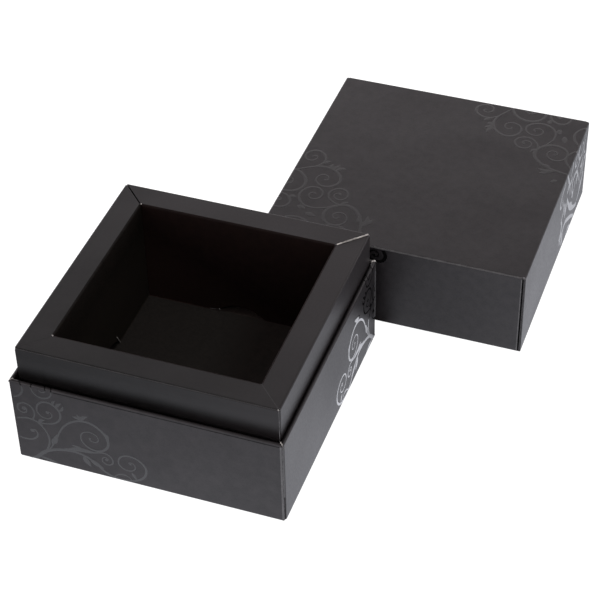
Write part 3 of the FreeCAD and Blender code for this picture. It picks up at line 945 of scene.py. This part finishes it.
# Shaded patches of the floor: two corners, the softness of the edge, the most shade, its colour
NOOK = ((0.055, 0.015), (0.095, 0.085), 0.022, 0.25)
NOOK_COLOUR = (0.0, 0.0, 0.0)
GAP = ((-0.070, 0.057), (0.064, 0.073), 0.004, 1.0)
GAP_COLOUR = (0.06, 0.06, 0.06)
FLOOR_HALF, FLOOR_LEVEL = 3.0, -0.00005
# Where the photograph was taken from
CAMERA_BACK = (0.26283259, -0.70575625, 0.657896)
CAMERA_LEVEL = (0.9371239, 0.34899684, 0.0)
CAMERA_ROLL = -1.404           # in degrees
CAMERA_AIM = (33.906, 33.069, 36.0)    # the point it looks at, in mm
CAMERA_DISTANCE = 0.825244     # in m
CAMERA_SENSOR, CAMERA_LENS = 36.0, 114.104     # in mm


def gradient(tree, value, stops, tint):
    """Tinted grey that follows a value from stop to stop."""
    ramp = tree.nodes.new("ShaderNodeValToRGB")
    elements = ramp.color_ramp.elements
    ramp.color_ramp.interpolation = "EASE"
    while len(elements) < len(stops):
        elements.new(0.5)
    for element, (position, level) in zip(elements, stops):
        element.position, element.color = position, (*times(tint, level), 1.0)
    tree.links.new(value, ramp.inputs["Fac"])
    return ramp.outputs["Color"]


def shaded_patch(s, axes, lows, highs, edge, most):
    """Share of shade in a rectangle of the floor with soft edges."""
    sides = []
    for axis, low, high in zip("XY", lows, highs):
        for place, inward in ((low, 1), (high, -1)):
            sides.append(s.span(axes[axis], place - inward * edge, place + inward * edge))
    share = s.span(sides[0], 0.0, 1.0, to_high=most)
    for side in sides[1:]:
        both = s.node("ShaderNodeMath", operation="MULTIPLY")
        s.link(share, both.inputs[0])
        s.link(side, both.inputs[1])
        share = both.outputs[0]
    return share


def light_table():
    """Pale floor: white as the lens sees it, and a pool of light under the box for the gloss."""
    s = Shader("pale_floor")
    grain = s.noise(60, 2.0, 0.5)
    away = s.node("ShaderNodeVectorMath", operation="DISTANCE")
    s.link(s.coordinates, away.inputs[0])
    away.inputs[1].default_value = TABLE_CENTRE
    pool = gradient(s.tree, away.outputs["Value"], TABLE_GLOW, TABLE_TINT)
    axes = s.axes()
    nook = s.mix(shaded_patch(s, axes, *NOOK), pool, NOOK_COLOUR)
    dimmed = s.mix(shaded_patch(s, axes, *GAP), nook, GAP_COLOUR)
    seen = s.node("ShaderNodeEmission")
    s.link(dimmed, seen.inputs["Color"])
    paper = s.node("ShaderNodeBsdfPrincipled")
    s.link(s.mix(grain, (0.24, 0.24, 0.24), (0.25, 0.25, 0.25)), paper.inputs["Base Color"])
    s.link(s.span(grain, 0.0, 1.0, 0.7, 0.8), paper.inputs["Roughness"])
    paper.inputs["Emission Color"].default_value = (1.0, 1.0, 1.0, 1.0)
    paper.inputs["Emission Strength"].default_value = 1.0
    choice = s.node("ShaderNodeMixShader")
    s.link(s.node("ShaderNodeLightPath").outputs["Is Camera Ray"], choice.inputs[0])
    s.link(seen.outputs[0], choice.inputs[1])
    s.link(paper.outputs[0], choice.inputs[2])
    s.link(choice.outputs[0], s.out.inputs["Surface"])
    return s.material


def floor():
    mesh = bpy.data.meshes.new("floor")
    corners = ((-1, -1), (1, -1), (1, 1), (-1, 1))
    mesh.from_pydata([(FLOOR_HALF * x, FLOOR_HALF * y, FLOOR_LEVEL) for x, y in corners],
                     [], [(0, 1, 2, 3)])
    mesh.materials.append(light_table())
    made = bpy.data.objects.new("floor", mesh)
    bpy.context.scene.collection.objects.link(made)


def softbox(name, place, aim, size, power):
    light = bpy.data.lights.new(name, "AREA")
    light.shape = "RECTANGLE"
    light.size, light.size_y = size
    light.energy = power
    made = bpy.data.objects.new(name, light)
    made.location = place
    made.rotation_euler = (Vector(aim) - Vector(place)).to_track_quat("-Z", "Y").to_euler()
    bpy.context.scene.collection.objects.link(made)


def studio():
    """Pale surround that is bright near the horizon and dim overhead."""
    world = bpy.data.worlds.new("studio")
    world.use_nodes = True
    tree = world.node_tree
    place = tree.nodes.new("ShaderNodeTexCoord")
    parts = tree.nodes.new("ShaderNodeSeparateXYZ")
    tree.links.new(place.outputs["Generated"], parts.inputs[0])
    level = gradient(tree, parts.outputs["Z"], SURROUND, SURROUND_TINT)
    tree.links.new(level, tree.nodes["Background"].inputs["Color"])
    lean = tree.nodes.new("ShaderNodeMath")
    lean.operation = "MULTIPLY_ADD"
    lean.inputs[1].default_value, lean.inputs[2].default_value = SURROUND_TURN, 1.0
    tree.links.new(parts.outputs["X"], lean.inputs[0])
    tree.links.new(lean.outputs[0], tree.nodes["Background"].inputs["Strength"])
    bpy.context.scene.world = world


def camera():
    """The photograph's own view, with no shift."""
    back = Vector(CAMERA_BACK).normalized()
    level = Vector(CAMERA_LEVEL).normalized()
    rise = back.cross(level)
    roll = math.radians(CAMERA_ROLL)
    right = math.cos(roll) * level + math.sin(roll) * rise
    up = -math.sin(roll) * level + math.cos(roll) * rise
    data = bpy.data.cameras.new("camera")
    data.sensor_width, data.lens = CAMERA_SENSOR, CAMERA_LENS
    data.clip_start, data.clip_end = 0.01, 20.0
    made = bpy.data.objects.new("camera", data)
    place = Matrix.Translation(Vector(CAMERA_AIM) * MM + back * CAMERA_DISTANCE)
    made.matrix_world = place @ Matrix((right, up, back)).transposed().to_4x4()
    bpy.context.scene.collection.objects.link(made)
    bpy.context.scene.camera = made


floor()
studio()
softbox("softbox_above", (0.1, -0.1, 1.5), (0.03, 0.03, 0.0), (0.45, 0.45), 3.4)
camera()
bpy.context.scene.view_settings.view_transform = "Standard"
